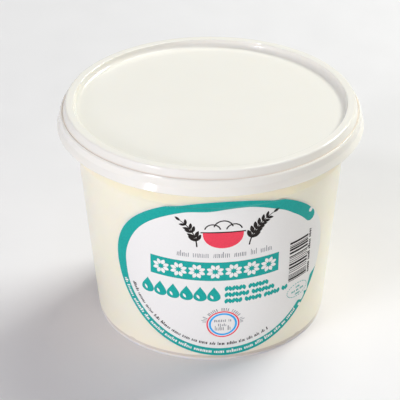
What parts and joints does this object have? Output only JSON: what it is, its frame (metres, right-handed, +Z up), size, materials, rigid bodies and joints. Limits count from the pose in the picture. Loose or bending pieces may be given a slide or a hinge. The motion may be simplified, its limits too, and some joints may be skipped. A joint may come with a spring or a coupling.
{
  "type": "tub of fromage blanc",
  "caption": "Shut round plastic tub of soft white cheese: tapered milky wall, push-on lid with a raised stacking ring, and one large die-cut label.",
  "frame": {"origin": "on the tub's axis, at the floor that the foot ring stands on", "axes": "+Z up along the tub's axis of symmetry; the label faces -Y; +X to the right of someone who looks at the label"},
  "size_m": [0.115, 0.115, 0.088],
  "materials": {
    "tub_plastic": "satin, milky and slightly see-through, cream from the cheese behind it",
    "lid_plastic": "satin white",
    "label_paper": "coated white paper with sea-green, coral and black fields of print"
  },
  "bodies": {
    "root": {"tub": "tub_plastic", "lid": "lid_plastic", "label": "label_paper"}
  },
  "joints": []
}
